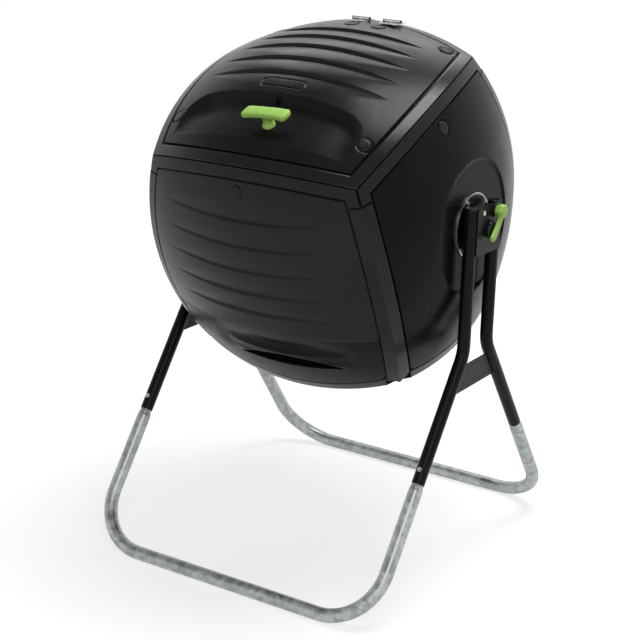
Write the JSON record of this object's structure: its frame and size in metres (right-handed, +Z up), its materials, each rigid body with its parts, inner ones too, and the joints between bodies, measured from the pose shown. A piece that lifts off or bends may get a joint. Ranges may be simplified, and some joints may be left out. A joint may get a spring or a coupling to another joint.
{
  "type": "tumbling compost bin",
  "caption": "Rounded cube-shaped compost drum of bulging charcoal panels, turning on an axle between splayed tube legs, with a hinged ribbed lid, a T-handle latch and a lock lever.",
  "frame": {"origin": "on the floor, under the middle of the stand, with the axle straight above", "axes": "+X along the axle towards the lock lever, -Y the front that the lid leans to, +Z up"},
  "size_m": [0.7295, 0.784, 1.086],
  "materials": {
    "charcoal_plastic": "satin, fine moulded grain",
    "black_fittings": "satin",
    "black_powder_coat": "satin powder coat",
    "galvanised_steel": "galvanised, streaked",
    "zinc_plate": "bright zinc",
    "dark_steel": "dark",
    "green_plastic": "smooth lime green"
  },
  "bodies": {
    "stand": {"axle_bracket_left": "black_powder_coat", "axle_bracket_right": "black_powder_coat", "bearing_block_left": "black_fittings", "bearing_block_right": "black_fittings", "bracket_screws": "zinc_plate", "front_lower_tube": "galvanised_steel", "leg_brace_left": "black_powder_coat", "leg_brace_right": "black_powder_coat", "leg_plugs": "black_fittings", "leg_screws": "zinc_plate", "lock_collar": "zinc_plate", "rear_lower_tube": "galvanised_steel", "upper_leg_front_left": "black_powder_coat", "upper_leg_front_right": "black_powder_coat", "upper_leg_rear_left": "black_powder_coat", "upper_leg_rear_right": "black_powder_coat"},
    "drum": {"axle": "zinc_plate", "axle_caps": "black_fittings", "back_panel": "charcoal_plastic", "bottom_panel": "charcoal_plastic", "bottom_rail_back": "charcoal_plastic", "bottom_rail_front": "charcoal_plastic", "bottom_rail_left": "charcoal_plastic", "bottom_rail_right": "charcoal_plastic", "corner_strip_back_left": "charcoal_plastic", "corner_strip_front_right": "charcoal_plastic", "corner_strip_left_front": "charcoal_plastic", "corner_strip_right_back": "charcoal_plastic", "disc_screws": "zinc_plate", "door_frame": "charcoal_plastic", "front_panel": "charcoal_plastic", "hinge_frame_leaves": "zinc_plate", "hub_disc": "zinc_plate", "index_disc": "zinc_plate", "left_end_panel": "charcoal_plastic", "panel_plugs": "charcoal_plastic", "right_end_panel": "charcoal_plastic", "top_rail_back": "charcoal_plastic", "top_rail_front": "charcoal_plastic", "top_rail_left": "charcoal_plastic", "top_rail_right": "charcoal_plastic"},
    "lid": {"hinge_lid_leaves": "zinc_plate", "hinge_pins": "dark_steel", "lid_panel": "charcoal_plastic", "lid_plugs": "charcoal_plastic"},
    "latch": {"latch_handle": "green_plastic", "latch_tongue": "zinc_plate"},
    "lever": {"lock_lever": "green_plastic"},
    "pin": {"lock_pin": "zinc_plate"}
  },
  "joints": [
    {"name": "drum_turn", "type": "hinge", "parent": "stand", "child": "drum", "pos_m": [0, 0, 0.721], "axis": [1, 0, 0], "continuous": true},
    {"name": "lid_swing", "type": "hinge", "parent": "drum", "child": "lid", "pos_m": [0, 0.10703, 1.08213], "axis": [-1, 0, 0], "range_deg": [0, 100]},
    {"name": "latch_turn", "type": "hinge", "parent": "lid", "child": "latch", "pos_m": [0.022, -0.28082, 0.92165], "axis": [-0.0374, 0.4822, -0.8753], "range_deg": [0, 90]},
    {"name": "lever_turn", "type": "hinge", "parent": "stand", "child": "lever", "pos_m": [0.36, 0.022, 0.754], "axis": [1, 0, 0], "range_deg": [0, 90]},
    {"name": "pin_slide", "type": "slide", "parent": "stand", "child": "pin", "axis": [-1, 0, 0], "range_m": [0, 0.0062]}
  ],
  "couplings": [
    {"joint": "pin_slide", "follows": "lever_turn", "m_per_rad": 0.00394}
  ]
}
